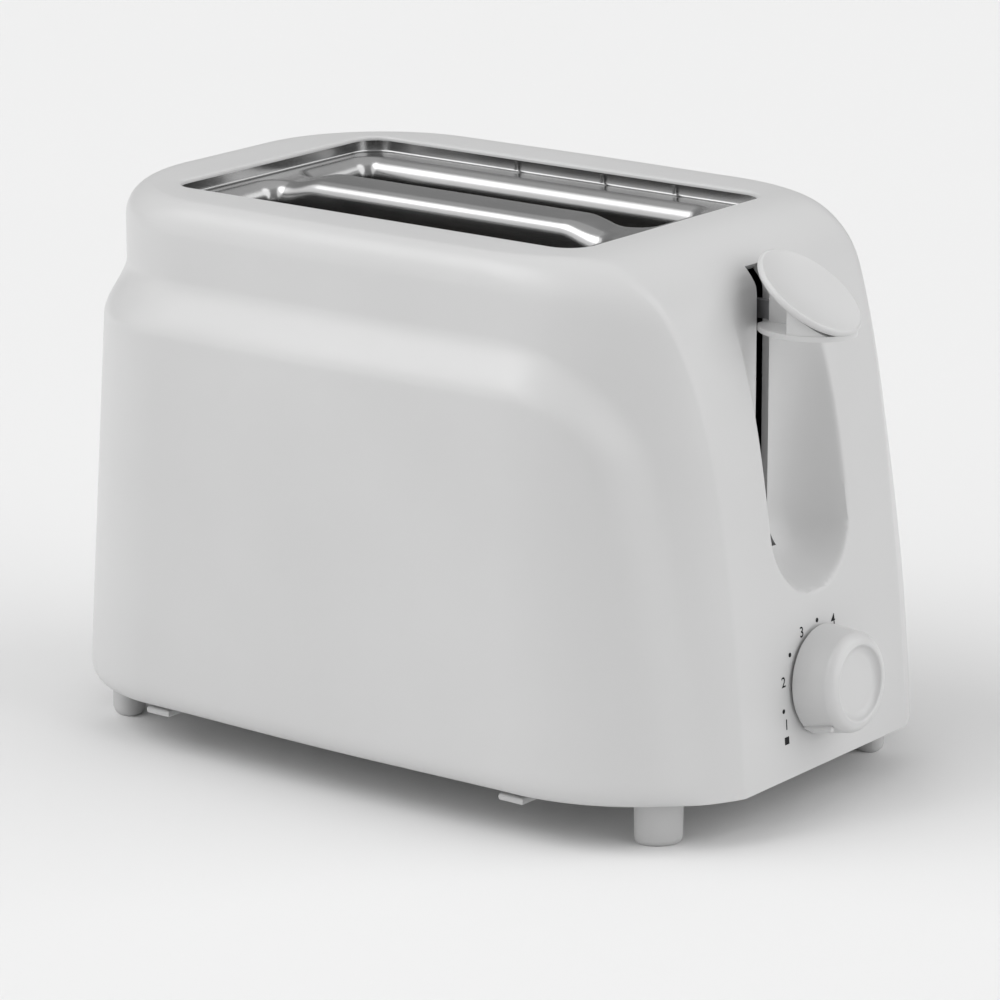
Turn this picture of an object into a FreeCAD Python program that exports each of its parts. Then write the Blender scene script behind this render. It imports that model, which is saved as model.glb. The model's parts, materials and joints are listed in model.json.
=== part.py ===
import FreeCAD, Part
import math
import os

# A two-slice pop-up toaster. Millimetres, +Z up, +X towards the lever end, y = 0 the middle plane.
# Everything is drawn about the middle of the four feet, and moved by FRAME_SHIFT when it is written.

V = FreeCAD.Vector
X_AXIS, Y_AXIS, Z_AXIS = V(1, 0, 0), V(0, 1, 0), V(0, 0, 1)

# ---- driving dimensions ----
TOP_Z = 178.0                # top of the shell above the table
SHELL_BOTTOM_Z = 15.0        # lower edge of the shell
WALL = 2.6                   # moulded wall
REAR_R = 50.0                # plan radius of the two rear corners
REAR_TOP_R = 47.0            # the same at the very top
RIDGE_R = 4.5                # rounding between the end face and the flanks

OPENING_MID_X = -10.7         # opening in the top of the shell
OPENING_LENGTH = 161.0
OPENING_WIDTH = 103.0
OPENING_R = 9.0
LIP_THICK = 1.3              # edge of the shell round the opening
BEZEL_Z = 172.7              # top of the flat steel floor between the slots
BEZEL_SHEET = 0.8
SLOT_MID_X = -16.5
SLOT_MID_Y = 24.5
SLOT_LENGTH = 134.4
SLOT_WIDTH = 30.0
SLOT_R = 4.0
ROLL_R = 6.0                 # edge of the floor, rolled down into each slot
COLLAR_BOTTOM_Z = 159.0
ARCH_X, ARCH_R = (-71.0, -47.0), 7.4   # arched cut-outs in the long walls of the collars

TRAVEL = 63.0                # how far the carriage goes down
GROOVE_BACK_X = 103.2        # deepest line of the thumb groove
GROOVE_HALF_WIDTH = 21.0
GROOVE_END_Z = 90.5          # centre of the groove's round lower end
GROOVE_TOP_Z = 168.0
SLOT_HALF_Y = 3.5            # the lever's slot at the back of the groove
LEVER_SLOT_Z = (80.0, 168.3)
DISH_X, DISH_Z = 120.2, 162.8
DISH_R, DISH_HALF_Y = 19.0, 16.0
DISH_SLOPE = 34.5
SHELF_X = 119.5
SHELF_Z = (150.3, 152.0)
ARM_Z = (152.4, 158.2)

DIAL_Y, DIAL_Z = -1.5, 42.0  # where the dial's axis leaves the end face
DIAL_R = 17.2
DIAL_DEPTH = 15.0
DIAL_GAP = 0.7
DIAL_SHAFT_R = 3.0

FOOT_X, FOOT_Y = 107.0, 58.0
FOOT_LONG, FOOT_SHORT = 7.6, 5.4
HOOK_X = (-73.5, 68.7)       # cord storage hooks
BASE_Z = (15.4, 18.0)
BOSS_X, BOSS_Y = 40.0, 75.5

FRONT_PLATE_X = (66.0, 67.2)
REAR_PLATE_X = (-88.6, -87.4)
PLATE_HALF_Y = 58.0
LEG_INNER_Y = 54.0
SHEET = 0.8
MICA_Y = 47.0
MICA_THICK = 0.8
MICA_Z = (42.0, 158.0)
GUARD_OFFSET = 13.8          # guard wires either side of a slot's middle
LIFT_Z = (104.0, 112.0)      # bread carrier strips, lever up

ROD_X, ROD_Y, ROD_R = 79.0, 17.0, 2.5
ROD_Z = (27.2, 164.0)
RUNNING_GAP = 0.05
CARRIAGE_X = (85.0, 86.5)
CARRIAGE_Z = (102.0, 126.0)
MAGNET_X = 92.5
BOARD_Z = (20.0, 21.6)

TRAY_X = (-121.0, 60.0)
TRAY_HALF_Y = 50.8
TRAY_Z = 18.5
HANDLE_X = (-126.2, -121.0)
HANDLE_Z = (18.4, 27.0)
HANDLE_HALF_Y = 52.0
GLAND_Y, GLAND_Z = 30.0, 39.0
GLAND_BORE_R = 3.4

# Front end face seen from the side: (x, z) from the foot of the shell to the flat top.
END_FACE_POINTS = [(130.0, 15.0), (126.9, 50.0), (121.9, 90.0), (114.9, 130.0), (107.0, 155.0),
                   (101.6, 165.0), (93.6, 172.2), (84.0, 176.7), (74.0, 178.0)]
END_FACE_FLARE = 0.12        # how far it leans out below the first point, per mm


# ---- small helpers ----
def box(x0, x1, y0, y1, z0, z1):
    return Part.makeBox(x1 - x0, y1 - y0, z1 - z0, V(x0, y0, z0))


def cylinder(radius, start, along, length):
    return Part.makeCylinder(radius, length, start, along)


def fuse(shapes):
    return shapes[0].multiFuse(shapes[1:]) if len(shapes) > 1 else shapes[0]


def mirrored(shape):
    return shape.mirror(V(0, 0, 0), Y_AXIS)


def clamp(t):
    return max(0.0, min(1.0, t))


def smooth(t):
    t = clamp(t)
    return t * t * (3 - 2 * t)


def between(t, a, b):
    return a + (b - a) * t


def round_in(z, start, end, depth):
    """0 at start, growing like the edge of a circle to nearly depth at end."""
    t = 0.993 * clamp((z - start) / (end - start))
    return depth * (1 - math.sqrt(1 - t * t))


def rounded_rectangle(x_mid, y_mid, length, width, radius, z):
    """A closed wire in the plane at z."""
    x0, x1, y0, y1 = x_mid - length / 2, x_mid + length / 2, y_mid - width / 2, y_mid + width / 2
    edges = []
    corners = [(x1 - radius, y1 - radius, 0), (x0 + radius, y1 - radius, 90),
               (x0 + radius, y0 + radius, 180), (x1 - radius, y0 + radius, 270)]
    ends = []
    for x, y, start in corners:
        p = [V(x + radius * math.cos(math.radians(start + a)), y + radius * math.sin(math.radians(start + a)), z)
             for a in (0, 45, 90)]
        edges.append(Part.Arc(*p).toShape())
        ends.append((p[0], p[2]))
    for i in range(4):
        a, b = ends[i][1], ends[(i + 1) % 4][0]
        if a.distanceToPoint(b) > 1e-6:
            edges.append(Part.makeLine(a, b))
    return Part.Wire(Part.__sortEdges__(edges))


def rounded_block(x_mid, y_mid, length, width, radius, z0, z1):
    return Part.Face(rounded_rectangle(x_mid, y_mid, length, width, radius, z0)).extrude(V(0, 0, z1 - z0))


def polygon_prism(points, along):
    """points are 3-D vectors in one plane; along is the extrusion."""
    return Part.Face(Part.makePolygon(points + points[:1])).extrude(along)


# ---- the shell's outer form ----
def end_face_curve(inset=0.0):
    curve = Part.BSplineCurve()
    points = [V(x - inset, 0, z) for x, z in END_FACE_POINTS]
    curve.interpolate(Points=points, InitialTangent=V(-END_FACE_FLARE, 0, 1), FinalTangent=V(-1, 0, 0))
    return curve


END_FACE = end_face_curve()


def end_face_x(z):
    """x of the end face at height z, by bisection along its curve."""
    low, high = END_FACE.FirstParameter, END_FACE.LastParameter
    if z <= END_FACE_POINTS[0][1]:
        return END_FACE_POINTS[0][0] + END_FACE_FLARE * (END_FACE_POINTS[0][1] - z)
    for _ in range(50):
        mid = (low + high) / 2
        if END_FACE.value(mid).z < z:
            low = mid
        else:
            high = mid
    return END_FACE.value((low + high) / 2).x


def front_radius(z):
    """Plan radius of the two corners beside the end face."""
    return 64.0 - 0.06 * (z - SHELL_BOTTOM_Z)


def rear_radius(z):
    return between(smooth((z - 148) / 30), REAR_R, REAR_TOP_R)


def ring(half_width, rear_x, front_x, bow, front_r, rear_r):
    """Half of a plan section, from the middle of the front round to the middle of the rear, as
    (point, outward normal)."""
    front_y, rear_y = front_r - half_width, rear_r - half_width
    front_c, rear_c = front_x - front_r, rear_x + rear_r
    out = [((front_x, front_y * k / 3), (1, 0)) for k in range(3)]
    for k in range(17):
        nx, ny = math.cos(math.radians(90 * k / 16)), -math.sin(math.radians(90 * k / 16))
        out.append(((front_c + front_r * nx, front_y + front_r * ny), (nx, ny)))
    for k in range(1, 10):
        t = k / 10
        lift = bow * (1 - (2 * t - 1) ** 2) ** 2
        out.append(((between(t, front_c, rear_c), -half_width - lift), (0, -1)))
    for k in range(17):
        nx, ny = -math.sin(math.radians(90 * k / 16)), -math.cos(math.radians(90 * k / 16))
        out.append(((rear_c + rear_r * nx, rear_y + rear_r * ny), (nx, ny)))
    out += [((rear_x, rear_y * (2 - k) / 3), (-1, 0)) for k in range(3)]
    return out


def section(z, inset):
    """The half section at height z: an upper body and, below the shoulder, a fuller skirt that ends in
    a soft step short of the end face."""
    front_r, rear_r = front_radius(z), rear_radius(z)
    body_width = 76.2 + 0.062 * (152 - z) - round_in(z, 167, TOP_Z, 8.0)
    ridge_y = 45 + 10 * (z / 172) ** 6
    reach = math.sqrt(front_r ** 2 - (front_r - body_width + ridge_y) ** 2)
    front_x = end_face_x(z) - reach + front_r
    body_rear = -(115.5 + 0.02 * (160 - z)) + round_in(z, 169, TOP_Z, 6.0)
    skirt_width = 87.2 - 0.019 * (z - 17)
    skirt_rear = -(125.0 - 0.058 * (z - 17))
    ridge_angle = math.asin(reach / front_r)
    edge = 20 + 0.06 * (z - 17)
    body = ring(body_width, body_rear, front_x, 0.8, front_r, rear_r)
    skirt = ring(skirt_width, skirt_rear, front_x + 0.6, 1.4, front_r, rear_r)
    flank_x = front_x - front_r
    points = []
    for ((bx, by), (nx, ny)), ((sx, sy), _) in zip(body, skirt):
        if nx > 0:
            behind = front_r * (ridge_angle - math.asin(nx))
        else:
            behind = front_r * ridge_angle + max(0.0, flank_x - bx)
        below = 145.5 - z
        soft = 28.0
        inside = behind - edge
        near = soft - math.hypot(max(0.0, soft - inside), max(0.0, soft - below))
        depth = near if (inside < soft and below < soft) else min(inside, below)
        share = smooth(0.5 + depth / 17)
        tuck = round_in(-z, -22, -SHELL_BOTTOM_Z, 4.0) * smooth(0.5 + inside / 14)
        off = inset + tuck
        points.append(V(between(share, bx, sx) - nx * off, between(share, by, sy) - ny * off, z))
    for p in (points[0], points[-1]):
        p.y = 0.0
    return points


def curve_through(points, parameters):
    curve = Part.BSplineCurve()
    curve.interpolate(Points=points, Parameters=parameters)
    return curve


def parameters_of(points):
    """Chord lengths along the points, from 0 to 1."""
    lengths = [0.0]
    for a, b in zip(points[:-1], points[1:]):
        lengths.append(lengths[-1] + a.distanceToPoint(b))
    return [s / lengths[-1] for s in lengths]


def skin(rows):
    """A smooth surface through rows of points, one row for each height."""
    u = parameters_of(rows[len(rows) // 3])
    v = parameters_of([row[len(row) // 2] for row in rows])
    across = [curve_through(row, u) for row in rows]
    poles = [c.getPoles() for c in across]
    up = [curve_through([row[k] for row in poles], v) for k in range(len(poles[0]))]
    grid = [c.getPoles() for c in up]
    surface = Part.BSplineSurface()
    surface.buildFromPolesMultsKnots(grid, across[0].getMultiplicities(), up[0].getMultiplicities(),
                                     across[0].getKnots(), up[0].getKnots(), False, False, 3, 3)
    return surface.toShape()


SKIN_HEIGHTS = [15, 16, 17.5, 19.5, 22, 26, 34, 48, 66, 86, 104, 118, 126, 131, 135, 138.5, 142, 145.5, 149,
                152.5, 156, 160, 164.5, 168.5, 171.5, 174, 176, 177.2, 178]


def closed_solid(faces):
    shell = Part.makeShell(faces)
    shell.sewShape()
    solid = Part.makeSolid(Part.Shell(shell.Faces))
    if solid.Volume < 0:
        solid.reverse()
    return solid


def half_form(inset, heights):
    return half_form_rows([section(z, inset) for z in heights])


def half_form_rows(rows):
    """The solid half of the body on the -Y side, cut by the middle plane."""
    side = skin(rows)
    low, high = rows[0], rows[-1]
    edges = {}
    for e in side.Edges:
        mid = e.valueAt((e.FirstParameter + e.LastParameter) / 2)
        if abs(mid.z - low[0].z) < 1e-4 and abs(mid.y) > 1:
            edges["bottom"] = e
        elif abs(mid.z - high[0].z) < 1e-4 and abs(mid.y) > 1:
            edges["top"] = e
        elif mid.x > 0:
            edges["front"] = e
        else:
            edges["rear"] = e
    line_top = Part.makeLine(high[-1], high[0])
    line_bottom = Part.makeLine(low[-1], low[0])
    faces = [side, Part.Face(Part.Wire([edges["top"], line_top])),
             Part.Face(Part.Wire([edges["bottom"], line_bottom])),
             Part.Face(Part.Wire(Part.__sortEdges__([edges["front"], line_top, edges["rear"], line_bottom])))]
    return closed_solid(faces)


def arch_prism(inset, bottom):
    """What lies behind the end face, wider than the body."""
    curve = end_face_curve(inset)
    first = V(END_FACE_POINTS[0][0] - inset, 0, END_FACE_POINTS[0][1])
    last = V(END_FACE_POINTS[-1][0] - inset, 0, TOP_Z)
    low = V(first.x + END_FACE_FLARE * (first.z - bottom), 0, bottom)
    edges = [curve.toShape(), Part.makeLine(last, V(-160, 0, last.z)),
             Part.makeLine(V(-160, 0, last.z), V(-160, 0, bottom)), Part.makeLine(V(-160, 0, bottom), low)]
    if bottom < first.z:
        edges.append(Part.makeLine(low, first))
    prism = Part.Face(Part.Wire(Part.__sortEdges__(edges))).extrude(V(0, -120, 0))
    prism.translate(V(0, 0, -inset))
    return prism


def whole(half):
    return half.fuse(mirrored(half)).removeSplitter()


def groove_tool(grow):
    """The thumb groove as a solid in front of its surface, grown outwards by grow."""
    back = GROOVE_BACK_X - grow
    reach = GROOVE_HALF_WIDTH + grow
    side = reach + 2.0
    rows = []
    z = GROOVE_END_Z - side
    while z < GROOVE_TOP_Z + 0.1:
        face = end_face_x(z) - grow
        depth = face - back
        row = []
        for k in range(-14, 15):
            y = side * k / 14
            t = math.hypot(y, min(0.0, z - GROOVE_END_Z)) / reach
            spread = 0.5 * (depth + 1.5 + math.hypot(depth - 1.5, 1.5))
            row.append(V(face - depth + spread * t ** 2.6, y, z))
        rows.append(row)
        z += 2.0 if z < GROOVE_END_Z else 4.0
    surface = skin(rows)
    low, high = rows[0][0].z, rows[-1][0].z
    slab = surface.extrude(V(60, 0, 0))
    front = box(end_face_x(high) - 30, 150, -side, side, low, high)
    return slab.common(front) if not slab.isNull() else front


def bounding_edges(shape, test):
    """The edges whose bounding box passes the test."""
    return [e for e in shape.Edges if test(e.BoundBox)]


def outer_form():
    half = half_form(0.0, SKIN_HEIGHTS).common(arch_prism(0.0, SHELL_BOTTOM_Z))
    ridge = bounding_edges(half, lambda b: b.ZLength > 150 and b.YMin < -50 and b.XMax > 120)
    return whole(half.makeFillet(RIDGE_R, ridge))


def inner_form():
    heights = [5.0, 10.0] + SKIN_HEIGHTS
    half = half_form_rows([lowered(section(z, WALL), z) for z in heights])
    return whole(half.common(arch_prism(WALL, 5.0)))


def lowered(row, z):
    """Drop a section so that the roof keeps its thickness too."""
    drop = WALL * smooth((z - 150) / 28)
    return [V(p.x, p.y, z - drop) for p in row]


def outer_shell():
    shell = outer_form().cut(groove_tool(0.0))
    hollow = inner_form().cut(groove_tool(WALL))
    shell = shell.cut(hollow)
    for x in (-BOSS_X, BOSS_X):
        for y in (-BOSS_Y, BOSS_Y):
            near, far = sorted((y, math.copysign(86.8, y)))
            shell = shell.fuse([cylinder(4.6, V(x, y, BASE_Z[1]), Z_AXIS, 34),
                                box(x - 1.2, x + 1.2, near, far, BASE_Z[1] + 6, BASE_Z[1] + 34)])
            shell = shell.cut(cylinder(1.5, V(x, y, BASE_Z[1] - 1), Z_AXIS, 13))
    shell = shell.cut(opening_block(0.0, TOP_Z - 12, TOP_Z + 5)).cut(opening_block(2.4, TOP_Z - 12, TOP_Z - LIP_THICK))
    shell = shell.cut(box(90, 112, -SLOT_HALF_Y, SLOT_HALF_Y, *LEVER_SLOT_Z))
    shell = shell.cut(on_dial_axis(cylinder(4.6, V(0, 0, -12), Z_AXIS, 20)))
    shell = shell.cut(box(-135, -112, -HANDLE_HALF_Y - 0.6, HANDLE_HALF_Y + 0.6, BASE_Z[1] - 0.1, HANDLE_Z[1] + 0.6))
    shell = shell.cut(cylinder(7.0, V(-135, GLAND_Y, GLAND_Z), X_AXIS, 22))
    lip = bounding_edges(shell, lambda b: b.ZMin > TOP_Z - 0.01 and b.XMin > -93 and b.XMax < 73)
    return shell.makeFillet(1.0, lip)


def on_dial_axis(shape):
    """Place a shape drawn on the Z axis on the dial's axis, its origin on the end face."""
    slope = (end_face_x(DIAL_Z - 3) - end_face_x(DIAL_Z + 3)) / 6
    tilt = math.degrees(math.atan(slope))
    placed = shape.copy()
    placed.rotate(V(0, 0, 0), Y_AXIS, 90 - tilt)
    placed.translate(V(end_face_x(DIAL_Z), DIAL_Y, DIAL_Z))
    return placed


# ---- bezel, base and feet ----
def opening_block(grow, z0, z1):
    return rounded_block(OPENING_MID_X, 0, OPENING_LENGTH + 2 * grow, OPENING_WIDTH + 2 * grow, OPENING_R + grow, z0, z1)


def slot_block(y, grow, z0, z1):
    return rounded_block(SLOT_MID_X, y, SLOT_LENGTH + 2 * grow, SLOT_WIDTH + 2 * grow, SLOT_R + grow, z0, z1)


def rolled_hole(block, y, grow, radius, top):
    """Pierce a slot through the block and roll its upper edge down into it."""
    pierced = block.cut(slot_block(y, grow, COLLAR_BOTTOM_Z - 2, top + 1))
    low, high = y - SLOT_WIDTH / 2 - grow - 0.01, y + SLOT_WIDTH / 2 + grow + 0.01
    reach = SLOT_LENGTH / 2 + grow + 0.01
    edge = bounding_edges(pierced, lambda b: b.ZMin > top - 0.01 and b.ZMax < top + 0.01 and b.YMin > low
                          and b.YMax < high and b.XMin > SLOT_MID_X - reach and b.XMax < SLOT_MID_X + reach)
    return pierced.makeFillet(radius, edge)


def top_bezel():
    under = TOP_Z - LIP_THICK - 0.1
    floor_z = BEZEL_Z - BEZEL_SHEET
    pan = opening_block(2.0, floor_z, under)
    pan = pan.makeFillet(1.6, bounding_edges(pan, lambda b: b.ZMax < floor_z + 0.01))
    dip = opening_block(1.0, BEZEL_Z, under + 1)
    bezel = pan.cut(dip.makeFillet(0.8, bounding_edges(dip, lambda b: b.ZMax < BEZEL_Z + 0.01)))
    slots = (-SLOT_MID_Y, SLOT_MID_Y)
    for y in slots:
        bezel = bezel.fuse(slot_block(y, ROLL_R + 0.2, BEZEL_Z - ROLL_R - 0.3, BEZEL_Z))
        bezel = bezel.fuse(slot_block(y, BEZEL_SHEET, COLLAR_BOTTOM_Z, BEZEL_Z - 1))
    for y in slots:
        bezel = rolled_hole(bezel, y, 0.0, ROLL_R, BEZEL_Z)
    for y in slots:
        spare = slot_block(y, ROLL_R + 0.4, COLLAR_BOTTOM_Z - 1, floor_z)
        bezel = bezel.cut(rolled_hole(spare, y, BEZEL_SHEET, ROLL_R - BEZEL_SHEET, floor_z))
        half = SLOT_WIDTH / 2 + 2
        arches = [cylinder(ARCH_R, V(x, y - half, COLLAR_BOTTOM_Z), Y_AXIS, 2 * half) for x in ARCH_X]
        bezel = bezel.cut(arches)
    return bezel


def base_plate():
    rows = [section(z, WALL + 0.5) for z in (BASE_Z[0], 16.2, 17.1, BASE_Z[1])]
    plate = whole(half_form_rows(rows).common(arch_prism(WALL + 0.5, 10.0)))
    for x in HOOK_X:
        for side in (-1, 1):
            stem = box(x - 4.6, x + 4.6, -2, 2, 11.0, BASE_Z[0])
            stem.translate(V(0, side * 71, 0))
            toe = box(x - 4.6, x + 4.6, -6.5, 6.5, 11.0, 13.4)
            toe = toe.makeFillet(0.9, bounding_edges(toe, lambda b: b.ZLength < 0.1))
            toe.translate(V(0, side * 75.5, 0))
            plate = plate.fuse([stem, toe])
    for x in (78.0, 110.0):
        for y in (-40.0, 40.0):
            plate = plate.fuse(cylinder(3.6, V(x, y, BASE_Z[1]), Z_AXIS, BOARD_Z[0] - BASE_Z[1]))
            plate = plate.cut(cylinder(1.4, V(x, y, BASE_Z[0] + 0.8), Z_AXIS, 10))
    for x in (-BOSS_X, BOSS_X):
        for y in (-BOSS_Y, BOSS_Y):
            plate = plate.cut(cylinder(1.7, V(x, y, 10), Z_AXIS, 10))
    for x in (FRONT_PLATE_X[1] + 4.5, REAR_PLATE_X[0] - 4.5):
        for y in (-56.5, 56.5):
            plate = plate.cut(cylinder(1.4, V(x, y, 10), Z_AXIS, 10))
    vents = [box(x, x + 4, side * 26 - 18, side * 26 + 18, 10, 20) for x in range(-60, 45, 12) for side in (-1, 1)]
    return plate.cut(vents)


def foot(x_side, y_side):
    """A tapered oval foot, its long way round the corner of the body."""
    wires = []
    for z, grow in ((0.0, -1.3), (0.7, -0.5), (2.0, -0.1), (BASE_Z[0], 0.1)):
        ring_wire = Part.Wire(Part.Ellipse(V(0, 0, z), FOOT_LONG + grow, FOOT_SHORT + grow).toShape())
        wires.append(ring_wire)
    shape = Part.makeLoft(wires, True, True)
    shape.rotate(V(0, 0, 0), Z_AXIS, -45 * x_side * y_side)
    shape.translate(V(FOOT_X * x_side, FOOT_Y * y_side, 0))
    return shape


def screw(x, y, seat, head_up, shank_r, length, head_r=3.0):
    """A pan head screw on its seat; head_up says which side the head is on."""
    way = -1 if head_up else 1
    head = cylinder(head_r, V(x, y, seat), V(0, 0, -way), 1.5)
    edge = bounding_edges(head, lambda b: b.ZLength < 0.01 and abs(b.ZMin - (seat - 1.5 * way)) < 0.01)
    head = head.makeFillet(0.7, edge)
    cross = [box(x - 1.6, x + 1.6, y - 0.35, y + 0.35, seat - way * 1.5 - 0.7, seat - way * 1.5 + 0.7),
             box(x - 0.35, x + 0.35, y - 1.6, y + 1.6, seat - way * 1.5 - 0.7, seat - way * 1.5 + 0.7)]
    return head.cut(cross).fuse(cylinder(shank_r, V(x, y, seat), V(0, 0, way), length))


def cord_gland():
    """The moulded bush in the rear wall that the supply cord would enter by, its flanges flush with the
    leaning wall."""
    lean = math.degrees(math.asin(0.058))
    wall_x = -123.72
    flange = cylinder(9.2, V(-125.9, GLAND_Y, GLAND_Z), X_AXIS, 3.2)
    flange = flange.makeFillet(0.9, bounding_edges(flange, lambda b: b.XMax < -125.8))
    inner_flange = cylinder(8.8, V(wall_x + WALL - 0.8, GLAND_Y, GLAND_Z), X_AXIS, 2.4)
    for way, x in ((1, wall_x - 0.03), (-1, wall_x + WALL + 0.03)):
        beyond = box(*sorted((0, 30 * way)), -15, 15, -15, 15)
        beyond.rotate(V(0, 0, 0), Y_AXIS, lean)
        beyond.translate(V(x, GLAND_Y, GLAND_Z))
        if way > 0:
            flange = flange.cut(beyond)
        else:
            inner_flange = inner_flange.cut(beyond)
    neck = cylinder(6.9, V(-124.9, GLAND_Y, GLAND_Z), X_AXIS, 3.9)
    tail = cylinder(5.4, V(-121.0, GLAND_Y, GLAND_Z), X_AXIS, 8.9)
    bore = cylinder(GLAND_BORE_R, V(-130, GLAND_Y, GLAND_Z), X_AXIS, 30)
    return fuse([flange, neck, inner_flange, tail]).cut(bore)


# ---- heating chassis ----
def end_plate(x0, x1, way):
    """A pressed end plate on two feet that straddles the crumb tray; way is the side its feet turn to."""
    plate = box(x0, x1, -PLATE_HALF_Y, PLATE_HALF_Y, BASE_Z[1], 166)
    plate = plate.cut(box(x0 - 1, x1 + 1, -LEG_INNER_Y, LEG_INNER_Y, BASE_Z[1] - 1, 31))
    edge = x1 if way > 0 else x0
    near, far = sorted((edge, edge + way * 9))
    for side in (-1, 1):
        low, high = sorted((side * LEG_INNER_Y, side * PLATE_HALF_Y))
        tab = box(near, far, low, high, BASE_Z[1], BASE_Z[1] + 1.2)
        plate = plate.fuse(tab).cut(cylinder(1.6, V(edge + way * 4.5, side * 56.5, 15), Z_AXIS, 8))
    return plate


def chassis_front_plate():
    x0, x1 = FRONT_PLATE_X
    plate = end_plate(x0, x1, 1)
    for y in (-SLOT_MID_Y, SLOT_MID_Y):
        plate = plate.cut(box(x0 - 1, x1 + 1, y - 2.4, y + 2.4, LIFT_Z[0] - TRAVEL - 3, LIFT_Z[1] + 4))
    top_tab = box(x1, 87, -24, 24, ROD_Z[1], ROD_Z[1] + 1.2)
    low_tab = box(x1, 86, 9, 24.9, ROD_Z[0] - 1.2, ROD_Z[0])
    riser = box(x1 - 1.2, x1, 9, 24.9, ROD_Z[0] - 1.2, 31)
    return fuse([plate, top_tab, low_tab, riser])


def reflector(side):
    sheet = box(REAR_PLATE_X[1], FRONT_PLATE_X[0], -SHEET / 2, SHEET / 2, 30, 163)
    for k in range(5):
        z = 48 + 24 * k
        bead = cylinder(0.9, V(REAR_PLATE_X[1] + 8, 0, z), X_AXIS, FRONT_PLATE_X[0] - REAR_PLATE_X[1] - 16)
        sheet = sheet.fuse(bead)
    sheet.translate(V(0, side * (PLATE_HALF_Y - 2.4), 0))
    return sheet


def bread_guard(slot_side, wall_side):
    """A grid of wires beside one slot."""
    y = slot_side * SLOT_MID_Y + wall_side * GUARD_OFFSET
    span = FRONT_PLATE_X[0] - REAR_PLATE_X[1]
    wires = [cylinder(1.0, V(REAR_PLATE_X[1], y, z), X_AXIS, span) for z in (58.0, 98.0, 138.0)]
    wires += [cylinder(0.8, V(-72 + 14 * k, y, 40), Z_AXIS, 118) for k in range(10)]
    return fuse(wires)


def mica_card(y):
    card = box(REAR_PLATE_X[1], FRONT_PLATE_X[0], y - MICA_THICK / 2, y + MICA_THICK / 2, *MICA_Z)
    notches = [box(x, x + 3, y - 2, y + 2, z, z + 4) for x in (-79, 59) for z in (48, 76, 104, 132)]
    return card.cut(notches)


def heater_ribbon(face_y, way):
    """A flat resistance ribbon laid to and fro on one face of a mica card."""
    y0, y1 = sorted((face_y, face_y + way * 0.35))
    strips = []
    rows = 12
    for k in range(rows):
        z = 49 + 9 * k
        strips.append(box(-73, 55, y0, y1, z, z + 2.2))
        if k < rows - 1:
            x = 52.8 if k % 2 == 0 else -73
            strips.append(box(x, x + 2.2, y0, y1, z, z + 11.2))
    return fuse(strips)


# ---- carriage ----
def guide_rod():
    return cylinder(ROD_R, V(ROD_X, ROD_Y, ROD_Z[0]), Z_AXIS, ROD_Z[1] - ROD_Z[0])


def slide_bush():
    block = box(ROD_X - 6, CARRIAGE_X[0], ROD_Y - 6, ROD_Y + 6, CARRIAGE_Z[0], CARRIAGE_Z[1])
    block = block.makeFillet(2.0, bounding_edges(block, lambda b: b.ZLength > 10 and b.XMax < ROD_X))
    return block.cut(cylinder(ROD_R + RUNNING_GAP, V(ROD_X, ROD_Y, 90), Z_AXIS, 50))


def carriage_plate():
    x0, x1 = CARRIAGE_X
    plate = box(x0, x1, -29, 29, *CARRIAGE_Z)
    plate = plate.makeFillet(3.0, bounding_edges(plate, lambda b: b.XLength > 1 and b.YLength < 0.1 and b.ZLength < 0.1))
    stalk = box(x0, x1, -6, 6, CARRIAGE_Z[1] - 4, ARM_Z[1] + 1)
    hook = box(ROD_X - 3, x0, -ROD_Y - 3, -ROD_Y + 3, CARRIAGE_Z[0] + 10, CARRIAGE_Z[0] + 11.5)
    hook = hook.cut(cylinder(1.0, V(ROD_X, -ROD_Y, CARRIAGE_Z[0]), Z_AXIS, 20))
    window = box(x0 - 1, x1 + 1, -4, 4, CARRIAGE_Z[1], ARM_Z[0] - 6)
    return fuse([plate, stalk, hook]).cut(window)


def bread_lift(y):
    """The strip with cross fingers that carries one slice."""
    strip = box(-70, CARRIAGE_X[0], y - 0.6, y + 0.6, *LIFT_Z)
    fingers = []
    for k in range(8):
        x = -67 + 17.5 * k
        bar = box(x - 2.5, x + 2.5, y - 9, y + 9, LIFT_Z[1] - 1.2, LIFT_Z[1])
        tips = [box(x - 2.5, x + 2.5, y + s * 8.4 - 0.6, y + s * 8.4 + 0.6, LIFT_Z[1] - 1.2, LIFT_Z[1] + 2.4)
                for s in (-1, 1)]
        fingers += [bar] + tips
    return fuse([strip] + fingers)


def lever_arm():
    arm = box(CARRIAGE_X[1], 117.0, -1.0, 1.0, *ARM_Z)
    return arm.makeFillet(2.0, bounding_edges(arm, lambda b: b.XMin > 116.9 and b.YLength > 1))


def armature_plate():
    return box(CARRIAGE_X[1], MAGNET_X + 6, -12, 12, CARRIAGE_Z[0], CARRIAGE_Z[0] + 2)


def ellipse_block(x, semi_x, semi_y, z0, z1):
    if semi_x >= semi_y:
        ellipse = Part.Ellipse(V(x, 0, z0), semi_x, semi_y).toShape()
    else:
        ellipse = Part.Ellipse(V(x, 0, z0), semi_y, semi_x).toShape()
        ellipse.rotate(V(x, 0, z0), Z_AXIS, 90)
    return Part.Face(Part.Wire(ellipse)).extrude(V(0, 0, z1 - z0))


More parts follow.
